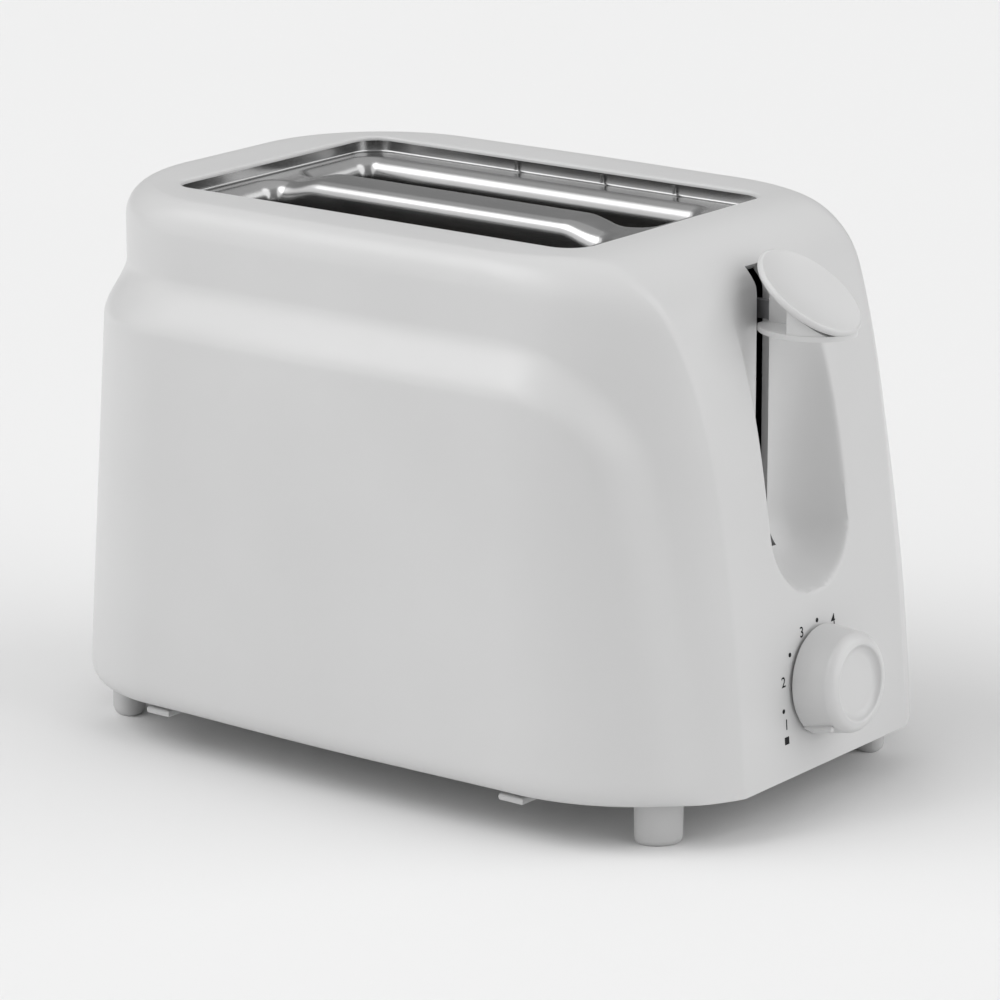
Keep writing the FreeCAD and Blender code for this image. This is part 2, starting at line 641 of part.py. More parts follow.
def dish_profile(bottom, top):
    """Half of the dish's section as a face in the XZ plane, turned round Z to make the dish."""
    edges = [Part.Arc(V(0, 0, bottom), V(9.5, 0, bottom + 0.45), V(17.4, 0, bottom + 1.75)).toShape(),
             Part.Arc(V(17.4, 0, bottom + 1.75), V(19.0, 0, -0.1), V(18.0, 0, 0.9)).toShape(),
             Part.Arc(V(18.0, 0, 0.9), V(9.5, 0, top + 0.55), V(0, 0, top)).toShape(),
             Part.makeLine(V(0, 0, top), V(0, 0, bottom))]
    return Part.Face(Part.Wire(edges))


def tilted(shape):
    """Lay a shape drawn about the origin on the slope of the lever's dish."""
    squeeze = FreeCAD.Matrix()
    squeeze.A22 = DISH_HALF_Y / DISH_R
    placed = shape.transformGeometry(squeeze)
    placed.rotate(V(0, 0, 0), Y_AXIS, DISH_SLOPE)
    placed.translate(V(DISH_X, 0, DISH_Z))
    return placed


def lever_knob():
    """A shallow oval dish on a neck, over a flat shelf that a solid chin joins to the dish's lower end."""
    dish = tilted(dish_profile(-3.3, -1.4).revolve(V(0, 0, 0), Z_AXIS, 360))
    under = Part.makeBox(80, 80, 60, V(-40, -40, -60 - 2.4))
    under.rotate(V(0, 0, 0), Y_AXIS, DISH_SLOPE)
    under.translate(V(DISH_X, 0, DISH_Z))
    shelf = ellipse_block(SHELF_X, 16.0, 13.4, *SHELF_Z).cut(box(90, 105.0, -20, 20, 140, 160))
    chin = ellipse_block(SHELF_X, 15.7, 13.1, SHELF_Z[0] + 0.3, 172).common(under)
    chin = chin.cut(box(90, 120.5, -20, 20, 140, 180))
    web = box(106.6, 128.0, -1.9, 1.9, SHELF_Z[0] + 0.5, 175).common(under)
    window = polygon_prism([V(110.4, -5, 159.6), V(117.0, -5, 159.6), V(110.4, -5, 164.0)], V(0, 10, 0))
    socket = box(100, 117.2, -1.05, 1.05, ARM_Z[0] - 0.05, ARM_Z[1] + 0.05)
    return fuse([dish, chin, shelf, web]).cut(window).cut(socket)


def lift_spring():
    """The tension spring that brings the carriage up, as it hangs with the lever up."""
    low, high = CARRIAGE_Z[0] + 14, ROD_Z[1] - 4
    turns_pitch = 2.2
    helix = Part.makeHelix(turns_pitch, high - low, 4.0)
    section_wire = Part.Wire(Part.makeCircle(0.45, V(4.0, 0, 0), V(0, 1, 0)))
    coil = Part.Wire(helix).makePipeShell([section_wire], True, True)
    coil.translate(V(ROD_X, -ROD_Y, low))
    ends = [cylinder(0.45, V(ROD_X, -ROD_Y, high - 0.6), Z_AXIS, 4.6),
            cylinder(0.45, V(ROD_X, -ROD_Y, low - 2.5), Z_AXIS, 3.1),
            cylinder(0.45, V(ROD_X, -ROD_Y, high - 0.6), X_AXIS, 4.0),
            cylinder(0.45, V(ROD_X, -ROD_Y, low + 0.5), X_AXIS, 4.0)]
    return fuse([coil] + ends)


# ---- control board, magnet, dial ----
def circuit_board():
    board = box(72, 116, -46, 46, *BOARD_Z)
    board = board.makeFillet(2.0, bounding_edges(board, lambda b: b.ZLength > 1 and b.XLength < 0.1 and b.YLength < 0.1))
    holes = [cylinder(1.6, V(x, y, 15), Z_AXIS, 10) for x in (78.0, 110.0) for y in (-40.0, 40.0)]
    return board.cut(holes)


def board_components():
    top = BOARD_Z[1]
    relay = box(74, 84, -34, -18, top, top + 12)
    chip = box(100, 110, 20, 26, top, top + 3)
    parts = [relay.makeFillet(0.8, relay.Edges), chip]
    parts += [cylinder(3.2, V(104, -32 + 9 * k, top), Z_AXIS, 10) for k in range(2)]
    parts += [box(78 + 5 * k, 81 + 5 * k, 30, 36, top, top + 2) for k in range(3)]
    parts += [cylinder(1.1, V(96, 24 + 4 * k, top), Z_AXIS, 5) for k in range(3)]
    return Part.makeCompound(parts)


def electromagnet_core():
    x0, x1 = MAGNET_X - 4.8, MAGNET_X + 4.8
    top = CARRIAGE_Z[0] - TRAVEL - 0.4
    return fuse([box(x0, x1, -12, 12, BOARD_Z[1], BOARD_Z[1] + 4), box(x0, x1, -12, -9, BOARD_Z[1], top),
                 box(x0, x1, 9, 12, BOARD_Z[1], top), box(x0 + 2, x1 - 2, -3, 3, BOARD_Z[1], top)])


def electromagnet_coil():
    coil = box(MAGNET_X - 6.4, MAGNET_X + 6.4, -8.4, 8.4, BOARD_Z[1] + 4, CARRIAGE_Z[0] - TRAVEL - 1.4)
    coil = coil.makeFillet(2.5, bounding_edges(coil, lambda b: b.ZLength > 5))
    return coil.cut(box(MAGNET_X - 2.8, MAGNET_X + 2.8, -3, 3, 20, 60))


def browning_control():
    """The potentiometer under the dial, on a bracket that stands on the board."""
    body = on_dial_axis(cylinder(8.0, V(0, 0, -17), Z_AXIS, 9).cut(
        cylinder(DIAL_SHAFT_R + RUNNING_GAP, V(0, 0, -15), Z_AXIS, 12)))
    collar = on_dial_axis(cylinder(4.2, V(0, 0, -8), Z_AXIS, 3).cut(
        cylinder(DIAL_SHAFT_R + RUNNING_GAP, V(0, 0, -9), Z_AXIS, 12)))
    bracket = box(108.5, 113.5, -9, 9, BOARD_Z[1], 34)
    clear = on_dial_axis(cylinder(DIAL_SHAFT_R + RUNNING_GAP, V(0, 0, -15), Z_AXIS, 30))
    return fuse([body, collar, bracket]).cut(clear)


def dial_shaft():
    return on_dial_axis(cylinder(DIAL_SHAFT_R, V(0, 0, -14.5), Z_AXIS, 14.5 + 9.0))


def dial_knob():
    s0, s1 = DIAL_GAP, DIAL_DEPTH
    r = DIAL_R
    points = [V(0, 0, s1 - 2.0), V(8.8, 0, s1 - 2.0)]
    edges = [Part.makeLine(points[0], points[1]),
             Part.Arc(points[1], V(10.6, 0, s1 - 1.5), V(11.5, 0, s1 - 0.5)).toShape(),
             Part.Arc(V(11.5, 0, s1 - 0.5), V(12.1, 0, s1), V(12.8, 0, s1 - 0.1)).toShape(),
             Part.Arc(V(12.8, 0, s1 - 0.1), V(14.9, 0, s1 - 1.3), V(15.8, 0, s1 - 4.0)).toShape(),
             Part.makeLine(V(15.8, 0, s1 - 4.0), V(r, 0, s0 + 0.6)),
             Part.makeLine(V(r, 0, s0 + 0.6), V(r - 0.6, 0, s0)),
             Part.makeLine(V(r - 0.6, 0, s0), V(0, 0, s0)),
             Part.makeLine(V(0, 0, s0), points[0])]
    solid = Part.Face(Part.Wire(edges)).revolve(V(0, 0, 0), Z_AXIS, 360)
    cavity = cylinder(r - 2.4, V(0, 0, s0 - 1), Z_AXIS, 9).cut(cylinder(5.4, V(0, 0, s0 - 2), Z_AXIS, 11))
    bore = cylinder(DIAL_SHAFT_R + 0.02, V(0, 0, s0 - 1), Z_AXIS, 9.4)
    pointer = box(-0.7, 0.7, r - 1.4, r + 0.5, s0 + 0.5, s1 - 3.6)
    pointer = pointer.makeFillet(0.5, pointer.Edges)
    pointer.rotate(V(0, 0, 0), Z_AXIS, -132.5)
    return on_dial_axis(solid.cut(cavity).cut(bore).fuse(pointer))


# ---- crumb tray ----
def crumb_tray():
    x0, x1 = TRAY_X
    pan = box(x0, x1, -TRAY_HALF_Y, TRAY_HALF_Y, TRAY_Z, TRAY_Z + 5.5)
    return pan.cut(box(x0 + SHEET, x1 - SHEET, -TRAY_HALF_Y + SHEET, TRAY_HALF_Y - SHEET, TRAY_Z + SHEET, TRAY_Z + 9))


def tray_handle():
    grip = box(*HANDLE_X, -HANDLE_HALF_Y, HANDLE_HALF_Y, *HANDLE_Z)
    grip = grip.makeFillet(1.6, bounding_edges(grip, lambda b: b.XMax < HANDLE_X[0] + 0.1))
    finger = Part.makeCylinder(24.0, 3.4, V(HANDLE_X[0] - 0.6, 0, HANDLE_Z[0] - 19.0), X_AXIS)
    return grip.cut(finger)


def tray_rails():
    rails = []
    for side in (-1, 1):
        wall = sorted((side * 51.4, side * 52.2))
        toe = sorted((side * 51.4, side * 53.6))
        rails += [box(-117, 62, *wall, BASE_Z[1], 27).fuse(box(-117, 62, *toe, BASE_Z[1], BASE_Z[1] + SHEET))]
    return Part.makeCompound(rails)


def sets_of_screws(places, seat, head_up, shank_r, length):
    return Part.makeCompound([screw(x, y, seat, head_up, shank_r, length) for x, y in places])


def all_parts():
    parts = {"outer_shell": outer_shell(), "top_bezel": top_bezel(), "base_plate": base_plate()}
    for end, x_side in (("front", 1), ("rear", -1)):
        for hand, y_side in (("left", -1), ("right", 1)):
            parts["foot_%s_%s" % (end, hand)] = foot(x_side, y_side)
    parts["cord_gland"] = cord_gland()
    parts["chassis_front_plate"] = chassis_front_plate()
    parts["chassis_rear_plate"] = end_plate(*REAR_PLATE_X, -1)
    for hand, side in (("left", -1), ("right", 1)):
        parts["reflector_" + hand] = reflector(side)
        parts["bread_guard_%s_outer" % hand] = bread_guard(side, side)
        parts["bread_guard_%s_inner" % hand] = bread_guard(side, -side)
        parts["mica_card_" + hand] = mica_card(side * MICA_Y)
        parts["heater_ribbon_" + hand] = heater_ribbon(side * (MICA_Y - MICA_THICK / 2), -side)
        parts["bread_lift_" + hand] = bread_lift(side * SLOT_MID_Y)
    parts["mica_card_centre"] = mica_card(0)
    parts["heater_ribbon_centre"] = Part.makeCompound([heater_ribbon(MICA_THICK / 2, 1),
                                                       heater_ribbon(-MICA_THICK / 2, -1)])
    parts["guide_rod"] = guide_rod()
    parts["lift_spring"] = lift_spring()
    parts["circuit_board"] = circuit_board()
    parts["board_components"] = board_components()
    parts["electromagnet_core"] = electromagnet_core()
    parts["electromagnet_coil"] = electromagnet_coil()
    parts["browning_control"] = browning_control()
    parts["tray_rails"] = tray_rails()
    parts["base_screws"] = sets_of_screws([(x, y) for x in (-BOSS_X, BOSS_X) for y in (-BOSS_Y, BOSS_Y)],
                                          BASE_Z[0], False, 1.5, 11)
    chassis_x = (FRONT_PLATE_X[1] + 4.5, REAR_PLATE_X[0] - 4.5)
    parts["chassis_screws"] = Part.makeCompound(
        [screw(x, y, BASE_Z[1] + 1.2, True, 1.4, 3.6, 2.0) for x in chassis_x for y in (-56.5, 56.5)])
    parts["board_screws"] = Part.makeCompound(
        [screw(x, y, BOARD_Z[1], True, 1.4, 5.0, 2.8) for x in (78.0, 110.0) for y in (-40.0, 40.0)])
    parts["slide_bush"] = slide_bush()
    parts["carriage_plate"] = carriage_plate()
    parts["lever_arm"] = lever_arm()
    parts["lever_knob"] = lever_knob()
    parts["armature_plate"] = armature_plate()
    parts["dial_knob"] = dial_knob()
    parts["dial_shaft"] = dial_shaft()
    parts["crumb_tray"] = crumb_tray()
    parts["tray_handle"] = tray_handle()
    return parts


def main():
    os.makedirs("parts", exist_ok=True)
    parts = all_parts()
    ends = [parts[name].optimalBoundingBox() for name in ("dial_knob", "tray_handle")]
    shift = V(-(ends[0].XMax + ends[1].XMin) / 2, 0, 0)
    for name, shape in parts.items():
        shape.translate(shift)
        shape.exportStep("parts/%s.step" % name)
        b = shape.optimalBoundingBox()
        print("%-26s valid %s solids %d volume %.0f  x %.1f %.1f  y %.1f %.1f  z %.1f %.1f" % (
            name, shape.isValid(), len(shape.Solids), shape.Volume, b.XMin, b.XMax, b.YMin, b.YMax, b.ZMin, b.ZMax))
    print("shift", shift)


main()
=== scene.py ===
import bmesh
import bpy
import json
import math
import numpy as np
from mathutils import Matrix, Vector


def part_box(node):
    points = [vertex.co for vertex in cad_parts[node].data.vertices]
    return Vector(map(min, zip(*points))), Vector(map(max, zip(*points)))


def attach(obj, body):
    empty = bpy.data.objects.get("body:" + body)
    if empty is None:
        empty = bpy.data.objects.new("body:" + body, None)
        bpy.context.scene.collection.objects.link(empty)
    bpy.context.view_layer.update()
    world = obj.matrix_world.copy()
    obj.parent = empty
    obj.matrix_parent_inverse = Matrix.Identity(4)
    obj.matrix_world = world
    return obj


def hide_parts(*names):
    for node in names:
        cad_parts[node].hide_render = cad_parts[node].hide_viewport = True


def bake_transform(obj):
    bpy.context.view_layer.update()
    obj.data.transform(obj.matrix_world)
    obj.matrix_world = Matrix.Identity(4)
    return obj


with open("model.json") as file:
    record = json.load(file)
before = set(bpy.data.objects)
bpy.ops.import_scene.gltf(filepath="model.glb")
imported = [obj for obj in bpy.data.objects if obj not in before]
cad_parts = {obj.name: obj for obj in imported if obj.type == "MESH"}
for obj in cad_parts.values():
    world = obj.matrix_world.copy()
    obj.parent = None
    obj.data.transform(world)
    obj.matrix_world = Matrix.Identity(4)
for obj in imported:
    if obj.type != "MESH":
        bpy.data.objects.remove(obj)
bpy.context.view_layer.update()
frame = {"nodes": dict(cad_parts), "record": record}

# Shapes are worked out in millimetres about the middle of the feet, then moved into the frame.
FEET = [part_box("foot_%s_left" % end) for end in ("front", "rear")]
MIDDLE_X = sum((low[0] + high[0]) / 4 for low, high in FEET)
MM = 0.001


def place(x, y, z):
    """A point in the object's own millimetres as a point of the frame, in metres."""
    return (x * MM + MIDDLE_X, y * MM, z * MM)


def add_object(name, data):
    thing = bpy.data.objects.new(name, data)
    bpy.context.scene.collection.objects.link(thing)
    return thing


def mesh_of(name, vertices, faces):
    mesh = bpy.data.meshes.new(name)
    mesh.from_pydata(vertices, [], faces)
    mesh.update()
    return mesh


# ---- camera ----
CAMERA_MM = (906.19, -1190.28, 490.17)
CAMERA_YAW, CAMERA_PITCH, CAMERA_ROLL = 37.212, 15.431, 0.044
CAMERA_LENS, CAMERA_SENSOR, CAMERA_FAR = 173.44, 36.0, 50.0


def make_camera():
    yaw, pitch, roll = (math.radians(a) for a in (CAMERA_YAW, CAMERA_PITCH, CAMERA_ROLL))
    back = Vector((math.sin(yaw) * math.cos(pitch), -math.cos(yaw) * math.cos(pitch), math.sin(pitch)))
    right = Vector((0, 0, 1)).cross(back).normalized()
    up = back.cross(right)
    c, s = math.cos(roll), math.sin(roll)
    right, up = right * c + up * s, up * c - right * s
    data = bpy.data.cameras.new("camera")
    data.lens = CAMERA_LENS
    data.sensor_width = CAMERA_SENSOR
    data.clip_end = CAMERA_FAR
    camera = add_object("camera", data)
    camera.matrix_world = Matrix((
        (right.x, up.x, back.x, CAMERA_MM[0] * MM + MIDDLE_X),
        (right.y, up.y, back.y, CAMERA_MM[1] * MM),
        (right.z, up.z, back.z, CAMERA_MM[2] * MM),
        (0, 0, 0, 1)))
    bpy.context.scene.camera = camera


# ---- materials ----
def new_material(name, colour, roughness, metallic=0.0, specular=0.5):
    m = bpy.data.materials.new(name)
    m.use_nodes = True
    shader = m.node_tree.nodes["Principled BSDF"]
    shader.inputs["Base Color"].default_value = (*colour, 1)
    shader.inputs["Roughness"].default_value = roughness
    shader.inputs["Metallic"].default_value = metallic
    shader.inputs["Specular IOR Level"].default_value = specular
    return m, m.node_tree.nodes, m.node_tree.links, shader


def object_coordinates(nodes, links, scale=(1, 1, 1)):
    where = nodes.new("ShaderNodeTexCoord")
    mapping = nodes.new("ShaderNodeMapping")
    mapping.inputs["Scale"].default_value = scale
    links.new(where.outputs["Object"], mapping.inputs["Vector"])
    return mapping.outputs["Vector"]


def noise(nodes, links, vector, scale, detail=3.0, rough=0.5):
    n = nodes.new("ShaderNodeTexNoise")
    n.inputs["Scale"].default_value = scale
    n.inputs["Detail"].default_value = detail
    n.inputs["Roughness"].default_value = rough
    links.new(vector, n.inputs["Vector"])
    return n.outputs["Fac"]


def ramp(nodes, links, factor, stops):
    r = nodes.new("ShaderNodeValToRGB")
    elements = r.color_ramp.elements
    while len(elements) < len(stops):
        elements.new(0.5)
    for element, (position, colour) in zip(elements, stops):
        element.position = position
        element.color = (*colour, 1)
    links.new(factor, r.inputs["Fac"])
    return r.outputs["Color"]


def spread(nodes, links, factor, low, high):
    r = nodes.new("ShaderNodeMapRange")
    r.inputs["To Min"].default_value = low
    r.inputs["To Max"].default_value = high
    links.new(factor, r.inputs["Value"])
    return r.outputs["Result"]


def bump(nodes, links, shader, height, strength, distance):
    b = nodes.new("ShaderNodeBump")
    b.inputs["Strength"].default_value = strength
    b.inputs["Distance"].default_value = distance
    links.new(height, b.inputs["Height"])
    links.new(b.outputs["Normal"], shader.inputs["Normal"])


def tinted(colour, amount):
    return tuple(max(0.0, min(1.0, c * amount)) for c in colour)


def moulded_plastic(name, colour, roughness, grain=2600.0, strength=0.06, drift=0.02):
    """Moulded plastic: a fine spark-eroded grain, and a slow drift of tone and gloss."""
    m, nodes, links, shader = new_material(name, colour, roughness)
    vector = object_coordinates(nodes, links)
    slow = noise(nodes, links, vector, 14.0, 2.0)
    links.new(ramp(nodes, links, slow, [(0.3, tinted(colour, 1 - drift)), (0.7, tinted(colour, 1 + drift))]),
              shader.inputs["Base Color"])
    gloss = noise(nodes, links, vector, 160.0, 4.0)
    links.new(spread(nodes, links, gloss, roughness - 0.04, roughness + 0.05), shader.inputs["Roughness"])
    fine = noise(nodes, links, vector, grain, 2.0, 0.6)
    bump(nodes, links, shader, fine, strength, 0.00004)
    return m


def polished_steel(name, colour, low, high, stretch, strength=0.05):
    """Bright rolled steel: long faint rolling lines that vary the gloss."""
    m, nodes, links, shader = new_material(name, colour, low, 1.0)
    vector = object_coordinates(nodes, links, stretch)
    lines = noise(nodes, links, vector, 900.0, 3.0, 0.6)
    links.new(spread(nodes, links, lines, low, high), shader.inputs["Roughness"])
    smudge = noise(nodes, links, object_coordinates(nodes, links), 35.0, 3.0)
    links.new(ramp(nodes, links, smudge, [(0.35, tinted(colour, 0.93)), (0.65, tinted(colour, 1.03))]),
              shader.inputs["Base Color"])
    bump(nodes, links, shader, lines, strength, 0.00003)
    return m


def zinc_sheet(name, colour):
    """Galvanised sheet with a soft spangle."""
    m, nodes, links, shader = new_material(name, colour, 0.42, 0.95)
    vector = object_coordinates(nodes, links)
    cells = nodes.new("ShaderNodeTexVoronoi")
    cells.inputs["Scale"].default_value = 170.0
    links.new(vector, cells.inputs["Vector"])
    grey = nodes.new("ShaderNodeSeparateColor")
    links.new(cells.outputs["Color"], grey.inputs["Color"])
    tones = [(0.0, tinted(colour, 0.86)), (1.0, tinted(colour, 1.08))]
    links.new(ramp(nodes, links, grey.outputs["Red"], tones), shader.inputs["Base Color"])
    links.new(spread(nodes, links, grey.outputs["Green"], 0.32, 0.52), shader.inputs["Roughness"])
    bump(nodes, links, shader, noise(nodes, links, vector, 700.0, 4.0), 0.12, 0.00006)
    return m


def mica_sheet(name):
    """Pressed mica: overlapping pale and dark flakes."""
    colour = (0.20, 0.18, 0.15)
    m, nodes, links, shader = new_material(name, colour, 0.38)
    vector = object_coordinates(nodes, links)
    flakes = nodes.new("ShaderNodeTexVoronoi")
    flakes.inputs["Scale"].default_value = 260.0
    links.new(vector, flakes.inputs["Vector"])
    grey = nodes.new("ShaderNodeSeparateColor")
    links.new(flakes.outputs["Color"], grey.inputs["Color"])
    links.new(ramp(nodes, links, grey.outputs["Blue"],
                   [(0.0, (0.07, 0.06, 0.055)), (0.35, (0.16, 0.15, 0.13)), (0.75, (0.27, 0.25, 0.22)),
                    (1.0, (0.50, 0.48, 0.44))]), shader.inputs["Base Color"])
    links.new(spread(nodes, links, grey.outputs["Red"], 0.22, 0.5), shader.inputs["Roughness"])
    bump(nodes, links, shader, flakes.outputs["Distance"], 0.3, 0.0001)
    return m


def wound_coil(name):
    """Enamelled copper wire wound in level turns."""
    colour = (0.42, 0.15, 0.05)
    m, nodes, links, shader = new_material(name, colour, 0.28, 0.85)
    vector = object_coordinates(nodes, links)
    turns = nodes.new("ShaderNodeTexWave")
    turns.bands_direction = "Z"
    turns.inputs["Scale"].default_value = 700.0
    turns.inputs["Distortion"].default_value = 0.6
    links.new(vector, turns.inputs["Vector"])
    links.new(ramp(nodes, links, turns.outputs["Fac"], [(0.0, tinted(colour, 0.45)), (0.6, colour)]),
              shader.inputs["Base Color"])
    bump(nodes, links, shader, turns.outputs["Fac"], 0.6, 0.0002)
    return m


def printed_ink(name):
    colour = (0.012, 0.012, 0.013)
    m, nodes, links, shader = new_material(name, colour, 0.6, 0.0, 0.1)
    patch = noise(nodes, links, object_coordinates(nodes, links), 3000.0, 2.0)
    links.new(ramp(nodes, links, patch, [(0.3, colour), (0.8, (0.03, 0.03, 0.032))]),
              shader.inputs["Base Color"])
    return m


def laminate(name):
    colour = (0.30, 0.17, 0.06)
    m, nodes, links, shader = new_material(name, colour, 0.4)
    vector = object_coordinates(nodes, links)
    fibre = noise(nodes, links, vector, 500.0, 5.0, 0.7)
    links.new(ramp(nodes, links, fibre, [(0.3, tinted(colour, 0.8)), (0.7, tinted(colour, 1.2))]),
              shader.inputs["Base Color"])
    bump(nodes, links, shader, fibre, 0.15, 0.00005)
    return m


def make_materials():
    """One material for each of the record's slots, and a few for single pieces."""
    return {
        "white_plastic": moulded_plastic("white_plastic", (0.59, 0.59, 0.59), 0.32),
        "base_plastic": moulded_plastic("base_plastic", (0.54, 0.54, 0.54), 0.55, 1500.0, 0.2),
        "foot_plastic": moulded_plastic("foot_plastic", (0.50, 0.50, 0.50), 0.6, 1100.0, 0.3, 0.05),
        "gland_plastic": moulded_plastic("gland_plastic", (0.74, 0.74, 0.74), 0.5, 1500.0, 0.15),
        "polished_steel": polished_steel("polished_steel", (0.55, 0.55, 0.55), 0.14, 0.24, (0.05, 1, 1)),
        # the bezel's steel is a darker copy of polished_steel: its lower base colour is painted shade,
        # standing in for the darker reflections in the bezel's pan
        "shaded_bezel_steel": polished_steel("shaded_bezel_steel", (0.40, 0.40, 0.40), 0.19, 0.27, (0.05, 1, 1)),
        "sheet_steel": zinc_sheet("sheet_steel", (0.30, 0.30, 0.31)),
        "steel_wire": polished_steel("steel_wire", (0.48, 0.47, 0.46), 0.25, 0.42, (1, 1, 0.08), 0.1),
        "mica": mica_sheet("mica"),
        "resistance_ribbon": polished_steel("resistance_ribbon", (0.22, 0.20, 0.19), 0.4, 0.6,
                                            (0.1, 1, 1), 0.1),
        "board_laminate": laminate("board_laminate"),
        "component_plastic": moulded_plastic("component_plastic", (0.03, 0.03, 0.032), 0.45, 1800.0,
                                             0.2, 0.1),
        "soft_iron": polished_steel("soft_iron", (0.34, 0.34, 0.35), 0.3, 0.5, (1, 1, 0.1), 0.2),
        "coil_winding": wound_coil("coil_winding"),
        "screw_steel": polished_steel("screw_steel", (0.55, 0.55, 0.56), 0.2, 0.35, (1, 1, 1), 0.1),
        "bush_plastic": moulded_plastic("bush_plastic", (0.72, 0.70, 0.64), 0.5, 1500.0, 0.1),
    }


# ---- the shell: sections of the body at each height, as the CAD has them ----
TOP_Z, BOTTOM_Z, WALL = 178.0, 15.0, 2.6
FRONT_R, FRONT_R_FALL = 64.0, 0.06               # plan radius beside the end face, and its loss per mm up
REAR_R, REAR_TOP_R, REAR_BLEND_Z, REAR_BLEND = 50.0, 47.0, 148, 30
RIDGE_R, RIDGE_MAX = 4.5, 2.2
RIDGE_Y, RIDGE_SPREAD, RIDGE_TOP_Z, RIDGE_POWER = 45, 10, 172, 6

BODY_HALF_Y, BODY_REAR = 76.2, 115.5             # upper body, above the waist
BODY_HALF_Y_Z, BODY_DRAFT, BODY_REAR_Z, BODY_REAR_DRAFT = 152, 0.062, 160, 0.02
SKIRT_HALF_Y, SKIRT_REAR, SKIRT_FRONT = 87.2, 125.0, 0.6
SKIRT_Z, SKIRT_DRAFT, SKIRT_REAR_DRAFT = 17, 0.019, 0.058
BODY_BOW, SKIRT_BOW = 0.8, 1.4                   # how far each flank bows out in plan
WAIST_Z, WAIST_SOFT, WAIST_BLEND = 145.5, 28.0, 17
WAIST_START, WAIST_START_SLOPE, TUCK_BLEND = 20, 0.06, 14
FLANK_ROLL_Z, FLANK_ROLL = 167, 8.0              # rounding over into the top
REAR_ROLL_Z, REAR_ROLL = 169, 6.0
TUCK_Z, TUCK = 22.0, 4.0                         # below this the foot of the shell tucks in
ROUND_PART = 0.993                               # a rounding stops just short of a full quarter turn
SLOPE_STEP = 0.4

OPENING_MID_X, OPENING_LENGTH, OPENING_WIDTH, OPENING_R = -10.7, 161.0, 103.0, 9.0
LIP_R, LIP_THICK, LIP_STEP, LIP_ROWS = 1.0, 1.3, 2.4, 6
GROOVE_BACK_X, GROOVE_HALF_WIDTH, GROOVE_END_Z = 103.2, 21.0, 90.5
GROOVE_SIDE, GROOVE_SPAN_Z = 23.1, (66.0, 172.0)
GROOVE_SOFT, GROOVE_POWER, RIM_SOFT = 1.5, 2.6, 1.0
SLOT_HALF_Y, SLOT_Z = 3.5, (80.0, 168.3)
DIAL_Y, DIAL_Z, DIAL_HOLE_R = -1.5, 42.0, 4.6
TRAY_HALF_Y, TRAY_Z = 52.6, (17.9, 27.6)
REAR_CORNER_Y = 37.1                             # centre of the rear corner's rounding
GLAND_Y, GLAND_Z, GLAND_R = 30.0, 39.0, 7.0
FRONT_FROM_X, REAR_FROM_X = 60, -110             # the end walls lie beyond these
END_FACE_POINTS = [(130.0, 15.0), (126.9, 50.0), (121.9, 90.0), (114.9, 130.0), (107.0, 155.0),
                   (101.6, 165.0), (93.6, 172.2), (84.0, 176.7), (74.0, 178.0)]

# Steps round half an outline and, for the rows, up the body and in over its top.
FACE_Y = [0.0, 1.2, 2.4] + [3.5 + 0.7 * k for k in range(29)]
FACE_REST, FILLET_STEPS, CORNER_STEPS, FLANK_STEPS, END_STEPS = 9, 8, 26, 44, 26
FRONT_STEPS = len(FACE_Y) - 1 + FACE_REST + FILLET_STEPS
TRAY_ANGLE = 180 - math.degrees(math.asin((TRAY_HALF_Y - REAR_CORNER_Y) / REAR_R))
REAR_ANGLES = ([90 + (TRAY_ANGLE - 90) * k / 20 for k in range(21)]
               + [TRAY_ANGLE + (180 - TRAY_ANGLE) * k / 5 for k in range(1, 6)])
FOOT_ROWS = [BOTTOM_Z, 15.15, 15.45, 15.9, 16.5, 17.2, TRAY_Z[0], 19.0, 20.5, TUCK_Z, 24.0, 26.0, TRAY_Z[1]]
LOW_STEP, GROOVE_ROWS_Z, GROOVE_STEP, ARCH_FROM_Z = 2.1, (66.4, 164.6), 0.8, 165.0
ROW_GAP, TOP_GAP = 0.035, 0.01
BROW_STEPS = (0.25, 0.55, 0.85, 1.0)


def spline(points, first_tangent, last_tangent, per_span=60):
    """A smooth curve through the points with given end directions, sampled closely."""
    p = np.array(points, float)
    steps = np.hypot(*np.diff(p, axis=0).T)
    t = np.concatenate([[0], np.cumsum(steps)])
    n = len(p)
    a, b = np.zeros((n, n)), np.zeros((n, 2))
    a[0, 0] = a[-1, -1] = 1
    b[0] = np.array(first_tangent) / np.linalg.norm(first_tangent)
    b[-1] = np.array(last_tangent) / np.linalg.norm(last_tangent)
    for i in range(1, n - 1):
        h0, h1 = steps[i - 1], steps[i]
        a[i, i - 1], a[i, i], a[i, i + 1] = h1, 2 * (h0 + h1), h0
        b[i] = 3 * (h1 * (p[i] - p[i - 1]) / h0 + h0 * (p[i + 1] - p[i]) / h1)
    slopes = np.linalg.solve(a, b)
    out = []
    for i in range(n - 1):
        h = steps[i]
        for s in np.linspace(0, 1, per_span, endpoint=(i == n - 2)):
            out.append((2 * s ** 3 - 3 * s ** 2 + 1) * p[i] + (s ** 3 - 2 * s ** 2 + s) * h * slopes[i]
                       + (3 * s ** 2 - 2 * s ** 3) * p[i + 1] + (s ** 3 - s ** 2) * h * slopes[i + 1])
    return np.array(out)


END_FACE = spline(END_FACE_POINTS, (-0.12, 1.0), (-1.0, 0.0))


def end_face_x(z):
    return float(np.interp(z, END_FACE[:, 1], END_FACE[:, 0]))


def clamp(t):
    return max(0.0, min(1.0, t))


def smooth(t):
    t = clamp(t)
    return t * t * (3 - 2 * t)


def between(t, a, b):
    return a + (b - a) * t


def front_radius(z):
    """Plan radius of the corners beside the end face."""
    return FRONT_R - FRONT_R_FALL * (z - BOTTOM_Z)


def rear_radius(z):
    return between(smooth((z - REAR_BLEND_Z) / REAR_BLEND), REAR_R, REAR_TOP_R)


